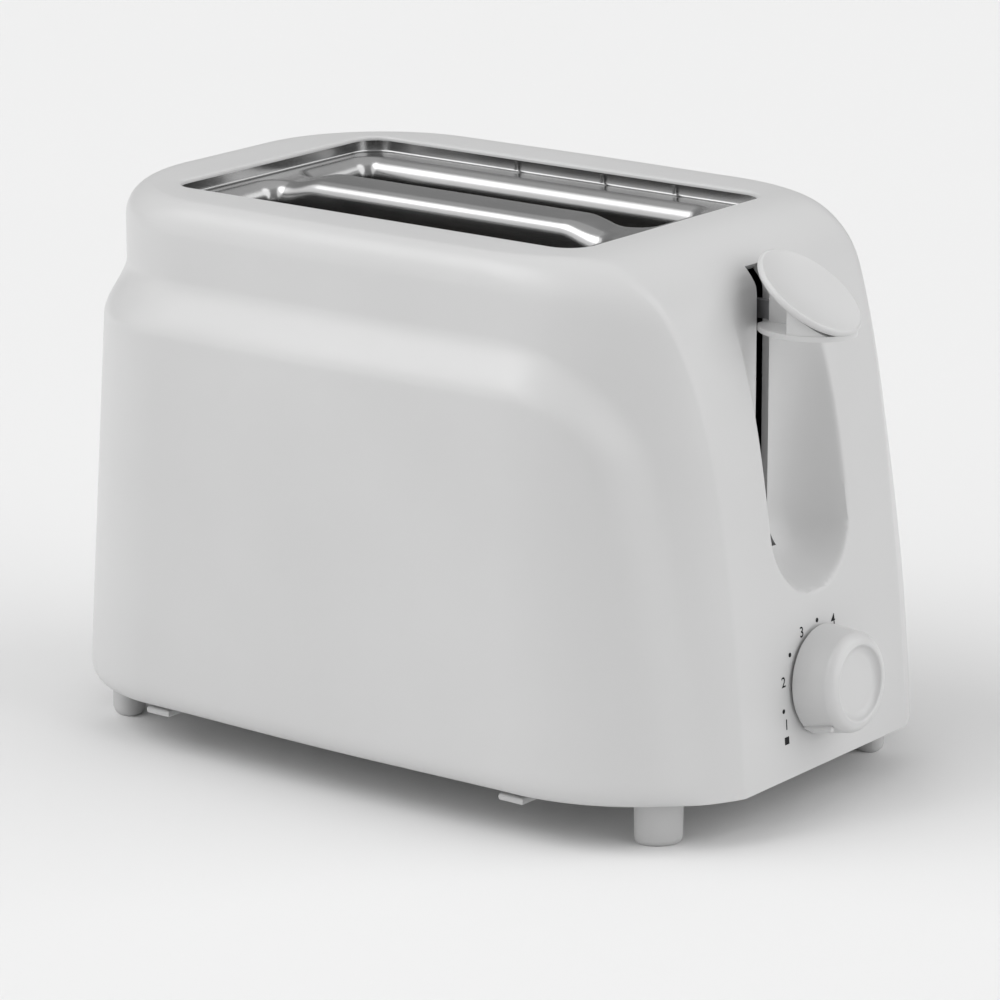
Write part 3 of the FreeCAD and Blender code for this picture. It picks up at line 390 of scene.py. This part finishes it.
def round_in(z, start, end, depth):
    """How far a rounding that runs from start to end has drawn in at z."""
    t = ROUND_PART * clamp((z - start) / (end - start))
    return depth * (1 - math.sqrt(1 - t * t))


class Section:
    """The body's plan outline at one height."""

    def __init__(self, z):
        self.z = z
        self.front_r, self.rear_r = front_radius(z), rear_radius(z)
        self.body_width = (BODY_HALF_Y + BODY_DRAFT * (BODY_HALF_Y_Z - z)
                           - round_in(z, FLANK_ROLL_Z, TOP_Z, FLANK_ROLL))
        ridge_y = RIDGE_Y + RIDGE_SPREAD * (z / RIDGE_TOP_Z) ** RIDGE_POWER
        reach = math.sqrt(self.front_r ** 2 - (self.front_r - self.body_width + ridge_y) ** 2)
        self.end_x = end_face_x(z)
        self.front_x = self.end_x - reach + self.front_r
        self.body_rear = (-(BODY_REAR + BODY_REAR_DRAFT * (BODY_REAR_Z - z))
                          + round_in(z, REAR_ROLL_Z, TOP_Z, REAR_ROLL))
        self.skirt_width = SKIRT_HALF_Y - SKIRT_DRAFT * (z - SKIRT_Z)
        self.skirt_rear = -(SKIRT_REAR - SKIRT_REAR_DRAFT * (z - SKIRT_Z))
        self.ridge_angle = math.asin(reach / self.front_r)
        self.edge = WAIST_START + WAIST_START_SLOPE * (z - SKIRT_Z)
        above = min(z + SLOPE_STEP, TOP_Z)
        slope = (end_face_x(z - SLOPE_STEP) - end_face_x(above)) / (above - z + SLOPE_STEP)
        self.fillet_r = RIDGE_R * min(RIDGE_MAX, math.hypot(1, slope))

    def ring_point(self, width, rear_x, front_x, bow, part, t):
        """A point and its outward direction; part is front, flank, rear or end, and t runs along it."""
        front_c, rear_c = front_x - self.front_r, rear_x + self.rear_r
        if part == "flank":
            return (between(t, front_c, rear_c), -width - bow * (1 - (2 * t - 1) ** 2) ** 2), (0.0, -1.0)
        if part == "end":
            return (rear_x, (self.rear_r - width) * (1 - t)), (-1.0, 0.0)
        r, centre_x = (self.front_r, front_c) if part == "front" else (self.rear_r, rear_c)
        out = (math.cos(t), -math.sin(t))
        return (centre_x + r * out[0], r - width + r * out[1]), out

    def point(self, part, t):
        """A point of the outline: the body's above the waist, the wider skirt's below it."""
        (bx, by), (nx, ny) = self.ring_point(self.body_width, self.body_rear, self.front_x, BODY_BOW, part, t)
        (sx, sy), _ = self.ring_point(self.skirt_width, self.skirt_rear, self.front_x + SKIRT_FRONT,
                                      SKIRT_BOW, part, t)
        if nx > 0:
            behind = self.front_r * (self.ridge_angle - math.asin(min(1.0, nx)))
        else:
            behind = self.front_r * self.ridge_angle + max(0.0, self.front_x - self.front_r - bx)
        below, inside, soft = WAIST_Z - self.z, behind - self.edge, WAIST_SOFT
        near = soft - math.hypot(max(0.0, soft - inside), max(0.0, soft - below))
        depth = near if (inside < soft and below < soft) else min(inside, below)
        share = smooth(0.5 + depth / WAIST_BLEND)
        tuck = round_in(-self.z, -TUCK_Z, -BOTTOM_Z, TUCK) * smooth(0.5 + inside / TUCK_BLEND)
        return between(share, bx, sx) - nx * tuck, between(share, by, sy) - ny * tuck

    def fillet(self):
        """The rounding between the end face and the corner: its centre and the corner angle where it ends."""
        r = self.fillet_r
        dx = self.end_x - r - (self.front_x - self.front_r)
        dy = math.sqrt(max(0.0, (self.front_r - r) ** 2 - dx * dx))
        return self.end_x - r, -(self.body_width - self.front_r) - dy, math.atan2(dy, dx)

    def groove(self, y):
        """x of the end face at y, with the thumb groove scooped out of it."""
        face, depth = self.end_x, self.end_x - GROOVE_BACK_X
        t = math.hypot(y, min(0.0, self.z - GROOVE_END_Z)) / GROOVE_HALF_WIDTH
        rim = 0.5 * (depth + GROOVE_SOFT + math.hypot(depth - GROOVE_SOFT, GROOVE_SOFT))
        scoop = face - depth + rim * t ** GROOVE_POWER
        return 0.5 * (face + scoop - math.hypot(face - scoop, RIM_SOFT))

    def outline(self):
        """Points from the middle of the end face round the -Y side to the middle of the rear."""
        cx, cy, angle = self.fillet()
        grooved = GROOVE_SPAN_Z[0] < self.z < GROOVE_SPAN_Z[1]
        out = [(self.groove(y) if grooved else self.end_x, -y) for y in FACE_Y]
        for k in range(1, FACE_REST + 1):
            out.append((self.end_x, between(k / FACE_REST, -GROOVE_SIDE, cy)))
        for k in range(1, FILLET_STEPS + 1):
            a = angle * k / FILLET_STEPS
            out.append((cx + self.fillet_r * math.cos(a), cy - self.fillet_r * math.sin(a)))
        for k in range(1, CORNER_STEPS + 1):
            out.append(self.point("front", between(k / CORNER_STEPS, angle, math.pi / 2)))
        for k in range(1, FLANK_STEPS):
            out.append(self.point("flank", k / FLANK_STEPS))
        for a in REAR_ANGLES:
            out.append(self.point("rear", math.radians(a)))
        for k in range(1, END_STEPS + 1):
            out.append(self.point("end", k / END_STEPS))
        return out


def shell_heights():
    """Heights of the rows: close together in the foot, up the groove and over the top of the end face."""
    low = [TRAY_Z[1] + LOW_STEP * k for k in range(1, 20)]
    groove = [float(z) for z in np.arange(*GROOVE_ROWS_Z, GROOVE_STEP) if abs(z - SLOT_Z[0]) > 0.3]
    arch = [float(z) for z in END_FACE[::6, 1] if z > ARCH_FROM_Z]
    heights = sorted(FOOT_ROWS + low + groove + arch + [*SLOT_Z, TOP_Z])
    kept = [heights[0]]
    for z in heights[1:]:
        if z - kept[-1] > ROW_GAP or z == TOP_Z:
            kept.append(z)
    kept[-2:] = [TOP_Z] if kept[-1] - kept[-2] < TOP_GAP else kept[-2:]
    return kept


def opening_outline(offset):
    """Half the rim of the top opening, grown by offset, with as many points as a body outline."""
    half_x, half_y, r = OPENING_LENGTH / 2 + offset, OPENING_WIDTH / 2 + offset, OPENING_R + offset
    rear = len(REAR_ANGLES)
    out = [(OPENING_MID_X + half_x, -(half_y - r) * k / FRONT_STEPS) for k in range(FRONT_STEPS + 1)]
    for k in range(1, CORNER_STEPS + 1):
        a = math.pi / 2 * k / CORNER_STEPS
        out.append((OPENING_MID_X + half_x - r + r * math.cos(a), -(half_y - r) - r * math.sin(a)))
    for k in range(1, FLANK_STEPS):
        out.append((OPENING_MID_X + between(k / FLANK_STEPS, half_x - r, -half_x + r), -half_y))
    for k in range(rear):
        a = math.pi / 2 * (1 + k / (rear - 1))
        out.append((OPENING_MID_X - half_x + r + r * math.cos(a), -(half_y - r) - r * math.sin(a)))
    for k in range(1, END_STEPS + 1):
        out.append((OPENING_MID_X - half_x, -(half_y - r) * (1 - k / END_STEPS)))
    return out


def full_ring(half, z):
    """Half an outline on the -Y side and its mirror image, as one closed row of 3-D points."""
    points = [(x, y, z) for x, y in half]
    return np.array(points + [(x, -y, z) for x, y, z in reversed(points[1:-1])])


def grid_normals(rows):
    """Outward directions at the points of a grid that closes on itself along each row."""
    along = np.roll(rows, -1, axis=1) - np.roll(rows, 1, axis=1)
    normals = np.cross(np.gradient(rows, axis=0), along)
    normals /= np.maximum(np.linalg.norm(normals, axis=2, keepdims=True), 1e-9)
    return -normals if normals[len(rows) // 2, 0, 0] < 0 else normals


def shell_skins(heights):
    """Rows of points of the outer skin, of the lip round the opening and of the inner skin."""
    brow = len(heights) - 1
    rows = [full_ring(Section(z).outline(), z) for z in heights]
    shoulder = full_ring(opening_outline(LIP_R), TOP_Z)
    outer = np.array(rows + [between(t, rows[brow], shoulder) for t in BROW_STEPS])
    inner = outer - grid_normals(outer) * WALL
    foot = sum(z < TUCK_Z for z in heights)
    inner[:foot, :, 2] = outer[:foot, :, 2]      # edges of openings in the tucked foot stay level
    inner[:brow, :, 2] = np.minimum(inner[:brow, :, 2], TOP_Z - WALL)
    inner[brow, :, 2] = TOP_Z - WALL
    step = full_ring(opening_outline(LIP_STEP), TOP_Z - WALL)
    for row, t in enumerate(BROW_STEPS, brow + 1):
        inner[row] = between(t, inner[brow], step)
    rim = []
    for k in range(1, LIP_ROWS + 1):
        a = math.pi / 2 * k / LIP_ROWS
        rim.append((LIP_R * (1 - math.sin(a)), TOP_Z - LIP_R * (1 - math.cos(a))))
    rim += [(0.0, TOP_Z - LIP_THICK), (LIP_STEP, TOP_Z - LIP_THICK)]
    return outer, np.array([full_ring(opening_outline(grow), z) for grow, z in rim]), inner


def is_pierced(x, y, z):
    """True where the skin is pierced by the lever slot, dial hole, tray opening or cord hole."""
    if x > FRONT_FROM_X:
        return (abs(y) < SLOT_HALF_Y and SLOT_Z[0] < z < SLOT_Z[1]
                or math.hypot(y - DIAL_Y, z - DIAL_Z) < DIAL_HOLE_R)
    if x < REAR_FROM_X:
        return (abs(y) < TRAY_HALF_Y and TRAY_Z[0] < z < TRAY_Z[1]
                or math.hypot(y - GLAND_Y, z - GLAND_Z) < GLAND_R)
    return False


def shell_faces(outer, lip_count, body_rows):
    """Faces over both skins and the lip, and walls through the thickness round every opening."""
    outer_count, columns = outer.shape[:2]
    total = len(outer) * 2 + lip_count

    def index(row, column):
        return (row % total) * columns + column % columns

    def inner_index(row, column):
        return index(total - 1 - row, column)

    cut = np.zeros((outer_count - 1, columns), bool)
    for row in range(body_rows):
        for column in range(columns):
            corners = [outer[r, c % columns] for r in (row, row + 1) for c in (column, column + 1)]
            cut[row, column] = is_pierced(*(sum(corners) / 4))
    faces = []
    for row in range(total):
        skin_row = row if row < outer_count - 1 else total - 2 - row
        in_lip = outer_count - 1 <= row < outer_count + lip_count
        for column in range(columns):
            if not in_lip and skin_row >= 0 and cut[skin_row, column]:
                continue
            faces.append((index(row, column), index(row, column + 1), index(row + 1, column + 1),
                          index(row + 1, column)))
    for row in range(body_rows):
        for column in range(columns):
            if not cut[row, column]:
                continue
            sides = [((row, column), (row, column + 1), row == 0 or not cut[row - 1, column]),
                     ((row + 1, column + 1), (row + 1, column), not cut[row + 1, column]),
                     ((row + 1, column), (row, column), not cut[row, column - 1]),
                     ((row, column + 1), (row + 1, column + 1), not cut[row, (column + 1) % columns])]
            for start, end, wall in sides:
                if wall:
                    faces.append((index(*start), index(*end), inner_index(*end), inner_index(*start)))
    return faces


def build_shell():
    heights = shell_heights()
    outer, lip, inner = shell_skins(heights)
    vertices = np.concatenate([outer, lip, inner[::-1]]).reshape(-1, 3)
    mesh = mesh_of("shell", [place(*v) for v in vertices], shell_faces(outer, len(lip), len(heights) - 1))
    return finish_mesh(mesh, "moulded_shell", 32)


WELD = 2e-6                      # metres


def finish_mesh(mesh, name, sharp_degrees):
    """Tidy a mesh, point its faces outwards, shade it smooth except across sharp edges, and link it."""
    b = bmesh.new()
    b.from_mesh(mesh)
    bmesh.ops.remove_doubles(b, verts=b.verts, dist=WELD)
    loose = [v for v in b.verts if not v.link_faces]
    bmesh.ops.delete(b, geom=loose, context="VERTS")
    bmesh.ops.recalc_face_normals(b, faces=b.faces)
    b.to_mesh(mesh)
    b.free()
    for polygon in mesh.polygons:
        polygon.use_smooth = True
    mesh.set_sharp_from_angle(angle=math.radians(sharp_degrees))
    return add_object(name, mesh)


def refined(node, name, sharp_degrees=30):
    """A welded, smoothly shaded stand-in for a CAD node."""
    mesh = frame["nodes"][node].data.copy()
    mesh.materials.clear()
    if "custom_normal" in mesh.attributes:
        mesh.attributes.remove(mesh.attributes["custom_normal"])
    return finish_mesh(mesh, name, sharp_degrees)


def dress(piece, material, body, nodes=()):
    """Give a piece its material and body, and hide the CAD nodes that it stands for."""
    piece.data.materials.clear()
    piece.data.materials.append(material)
    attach(piece, body)
    if nodes:
        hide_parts(*nodes)


# ---- printed scale round the dial ----
MARK_R = 21.0
MARK_MIDDLE = (0.1, -2.6)
MARK_STEP = 24.5
FIGURE_SIZE, FIGURE_SWELL, DOT_R = 4.7, 0.045, 0.74
FIGURE_1_ANGLE, OFF_MARK_ANGLE, OFF_MARK_OUT, OFF_MARK_HALF = -111.0, -122.0, 2.4, 1.2
INK_LIFT, FACE_LEAN = 0.035, 0.996


def drape(mesh, u, v):
    """Lay a flat mesh, drawn in millimetres, on the end face at (u, v) from the dial's axis."""
    for vertex in mesh.vertices:
        y = DIAL_Y + vertex.co.x + u
        z = DIAL_Z + (vertex.co.y + v) * FACE_LEAN
        lift = INK_LIFT + vertex.co.z
        vertex.co = place(end_face_x(z) + lift, y, z)


def digit(text, size, name):
    curve = bpy.data.curves.new(name, "FONT")
    curve.body = text
    curve.size = size
    curve.align_x = "CENTER"
    curve.align_y = "CENTER"
    curve.resolution_u = 6
    curve.offset = FIGURE_SWELL
    holder = add_object(name, curve)
    bpy.context.view_layer.update()
    mesh = bpy.data.meshes.new_from_object(holder)
    bpy.data.objects.remove(holder)
    return mesh


def disc(radius, name, sides=20):
    ring = [(radius * math.cos(2 * math.pi * k / sides), radius * math.sin(2 * math.pi * k / sides), 0)
            for k in range(sides)]
    return mesh_of(name, ring, [tuple(range(sides))])


def square(name, half):
    corners = [(-half, -half, 0), (half, -half, 0), (half, half, 0), (-half, half, 0)]
    return mesh_of(name, corners, [(0, 1, 2, 3)])


def print_mark(mesh, name, angle, radius, ink):
    """Lay a mark on the end face at an angle, clockwise from the top, round the middle of the scale."""
    a = math.radians(angle)
    drape(mesh, MARK_MIDDLE[0] + radius * math.sin(a), MARK_MIDDLE[1] + radius * math.cos(a))
    dress(add_object(name, mesh), ink, "housing")


def build_scale(ink):
    """Figures 1 to 6 with a dot between each pair; 1 stands closer to its dot, by the off mark."""
    print_mark(digit("1", FIGURE_SIZE, "figure_1"), "scale_figure_1", FIGURE_1_ANGLE, MARK_R, ink)
    for k in range(10):
        angle = MARK_STEP * (k - 4)
        if k % 2 == 0:
            print_mark(disc(DOT_R, "dot_%d" % k), "scale_dot_%d" % (k // 2 + 1), angle, MARK_R, ink)
        else:
            figure = k // 2 + 2
            mesh = digit(str(figure), FIGURE_SIZE, "figure_%d" % figure)
            print_mark(mesh, "scale_figure_%d" % figure, angle, MARK_R, ink)
    off_mark = square("off_mark", OFF_MARK_HALF)
    print_mark(off_mark, "scale_off_mark", OFF_MARK_ANGLE, MARK_R + OFF_MARK_OUT, ink)


# ---- pressed details of the bezel ----
BEZEL_Z = 172.7
BAR_X, BAR_HALF_Y, BAR_R, BAR_END_R = (-79.7, 46.7), 9.53, 4.6, 6.0
BAR_RISE, BAR_FADE, BAR_FOOT_Z = 2.3, 14.0, 166.0
BAR_ROWS = 80
RIB_X, RIB_Z, RIB_R, RIB_SUNK = (-30.4, 4.5, 33.1), (173.4, 176.2), 0.45, 0.05


def build_bar_crown(material):
    """The raised crown pressed into the bar between the two slots."""
    rows = []
    for k in range(BAR_ROWS + 1):
        x = between(k / BAR_ROWS, *BAR_X)
        rise = smooth((x - BAR_X[0]) / BAR_FADE) * smooth((BAR_X[1] - x) / BAR_FADE)
        top, r = BEZEL_Z + BAR_RISE * rise, between(rise, BAR_END_R, BAR_R)
        section = [(-BAR_HALF_Y, BAR_FOOT_Z)]
        for a in range(0, 91, 9):
            turn = math.radians(a)
            section.append((-BAR_HALF_Y + r * (1 - math.cos(turn)), top - r * (1 - math.sin(turn))))
        section += [(-y, z) for y, z in reversed(section)]
        rows.append([(x, y, z) for y, z in section])
    count = len(rows[0])
    vertices = [place(*p) for row in rows for p in row]
    faces = [(i * count + j, i * count + j + 1, (i + 1) * count + j + 1, (i + 1) * count + j)
             for i in range(len(rows) - 1) for j in range(count - 1)]
    faces.append(tuple(range(count)))
    faces.append(tuple((len(rows) - 1) * count + j for j in reversed(range(count))))
    mesh = mesh_of("bar_crown", vertices, faces)
    dress(finish_mesh(mesh, "bezel_bar_crown", 40), material, "housing")


def build_wall_ribs(material):
    """Three short ribs pressed into the bezel's wall on the +Y side."""
    for k, x in enumerate(RIB_X):
        y = OPENING_WIDTH / 2 - RIB_SUNK
        path = [place(x, y, between(t / 4, *RIB_Z)) for t in range(5)]
        dress(tube(path, RIB_R * MM, 12, "bezel_rib_%d" % (k + 1)), material, "housing")


# ---- lift spring: sizes in metres ----
SPRING_R, SPRING_WIRE, SPRING_TURNS, SPRING_STEPS, SPRING_SIDES = 0.004, 0.00045, 26, 18, 8
HOOK_LOW, HOOK_HIGH, HOOK_BEND = 0.0025, 0.004, 0.0004
END_LOW, END_HIGH = 0.0002, 0.0001


def build_spring():
    """The tension spring: close coils hung between the carriage's hook and the chassis."""
    low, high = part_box("lift_spring")
    centre_x, centre_y = (low[0] + high[0]) / 2, (low[1] + high[1]) / 2
    z0, z1, count = low[2] + HOOK_LOW, high[2] - HOOK_HIGH, SPRING_TURNS * SPRING_STEPS
    path = [(centre_x, centre_y, low[2] + END_LOW), (centre_x, centre_y, z0 - HOOK_BEND)]
    for k in range(count + 1):
        a = 2 * math.pi * k / SPRING_STEPS
        path.append((centre_x + SPRING_R * math.cos(a), centre_y + SPRING_R * math.sin(a),
                     between(k / count, z0, z1)))
    path += [(centre_x, centre_y, z1 + HOOK_BEND), (centre_x, centre_y, high[2] - END_HIGH)]
    return tube(path, SPRING_WIRE, SPRING_SIDES, "spring_coil")


def tube(path, radius, sides, name):
    """A round wire along a path of points, closed at both ends."""
    vertices, faces = [], []
    path = [Vector(p) for p in path]
    for i, p in enumerate(path):
        ahead, behind = path[min(i + 1, len(path) - 1)], path[max(i - 1, 0)]
        way = (ahead - behind).normalized()
        side = way.cross(Vector((0.02, 0.01, 1.0)))
        side = side.normalized() if side.length > 1e-6 else Vector((1, 0, 0))
        over = way.cross(side).normalized()
        for k in range(sides):
            a = 2 * math.pi * k / sides
            vertices.append(p + side * (radius * math.cos(a)) + over * (radius * math.sin(a)))
    for i in range(len(path) - 1):
        for k in range(sides):
            faces.append((i * sides + k, i * sides + (k + 1) % sides, (i + 1) * sides + (k + 1) % sides,
                          (i + 1) * sides + k))
    faces.append(tuple(range(sides)))
    faces.append(tuple((len(path) - 1) * sides + k for k in range(sides)))
    return finish_mesh(mesh_of(name, vertices, faces), name, 60)


# ---- stage ----
FLOOR_COLOUR, FLOOR_HALF = (0.79, 0.79, 0.79), 6.0
SKY_STRENGTH = 1.0
SKY_SHADES = [(0.0, 0.30), (0.35, 0.33), (0.7, 0.45), (1.0, 0.5)]
# name, direction of the light, strength, how wide it looks in degrees
LIGHTS = [
    ("side_softbox", (-0.50, -0.70, 0.50), 0.42, 80.0),
    ("key_softbox", (-0.40, -0.50, 0.77), 0.20, 36.0),
    ("end_softbox", (0.85, 0.33, 0.40), 0.50, 70.0),
    ("top_softbox", (0.0, 0.3, 0.95), 0.12, 80.0),
]


def build_floor():
    floor = add_object("floor", square("floor", FLOOR_HALF))
    m, nodes, links, shader = new_material("floor_paper", FLOOR_COLOUR, 0.9, 0.0, 0.1)
    shade = noise(nodes, links, object_coordinates(nodes, links), 3.0, 2.0)
    tones = [(0.3, tinted(FLOOR_COLOUR, 0.997)), (0.7, tinted(FLOOR_COLOUR, 1.003))]
    links.new(ramp(nodes, links, shade, tones), shader.inputs["Base Color"])
    floor.data.materials.append(m)


def build_sky():
    """A white tent: bright overhead, dimmer towards the horizon."""
    world = bpy.data.worlds.new("studio")
    world.use_nodes = True
    nodes, links = world.node_tree.nodes, world.node_tree.links
    where = nodes.new("ShaderNodeTexCoord")
    split = nodes.new("ShaderNodeSeparateXYZ")
    links.new(where.outputs["Generated"], split.inputs["Vector"])
    shades = [(height, (shade, shade, shade)) for height, shade in SKY_SHADES]
    links.new(ramp(nodes, links, split.outputs["Z"], shades), nodes["Background"].inputs["Color"])
    nodes["Background"].inputs["Strength"].default_value = SKY_STRENGTH
    bpy.context.scene.world = world


def build_lights():
    for name, direction, strength, softness in LIGHTS:
        data = bpy.data.lights.new(name, "SUN")
        data.energy = strength * math.pi
        data.angle = math.radians(softness)
        light = add_object(name, data)
        light.rotation_euler = Vector(direction).to_track_quat("Z", "Y").to_euler()


# Nodes drawn from their CAD shape with smooth shading, and the angle in degrees that stays sharp.
SMOOTHED = {
    "top_bezel": 24, "lever_knob": 32, "dial_knob": 30, "cord_gland": 30, "tray_handle": 30, "base_plate": 30,
    "foot_front_left": 35, "foot_front_right": 35, "foot_rear_left": 35, "foot_rear_right": 35,
    "slide_bush": 30, "guide_rod": 40, "dial_shaft": 40, "browning_control": 30, "electromagnet_coil": 30,
    "reflector_left": 30, "reflector_right": 30, "bread_guard_left_outer": 40, "bread_guard_left_inner": 40,
    "bread_guard_right_outer": 40, "bread_guard_right_inner": 40, "base_screws": 30, "chassis_screws": 30,
    "board_screws": 30, "board_components": 30,
}


def main():
    make_camera()
    materials = make_materials()
    slots = {s["node"]: s["material_slot"] for s in frame["record"]["subparts"]}
    groups = frame["record"]["behaviour"]["bodies"]
    bodies = {node: body for body, members in groups.items() for node in members}
    shell = build_shell()
    dress(shell, materials["white_plastic"], "housing", ["outer_shell"])
    for node, angle in SMOOTHED.items():
        piece = refined(node, node + "_smooth", angle)
        material = "shaded_bezel_steel" if node == "top_bezel" else slots[node]
        dress(piece, materials[material], bodies[node], [node])
    for node, thing in frame["nodes"].items():
        thing.data.materials.clear()
        thing.data.materials.append(materials[slots[node]])
    spring = build_spring()
    spring.data.materials.append(materials["steel_wire"])
    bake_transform(spring)
    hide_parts("lift_spring")
    build_bar_crown(materials["shaded_bezel_steel"])
    build_wall_ribs(materials["shaded_bezel_steel"])
    build_scale(printed_ink("printed_ink"))
    build_floor()
    build_sky()
    build_lights()
    bpy.context.scene.view_settings.view_transform = "Standard"


main()
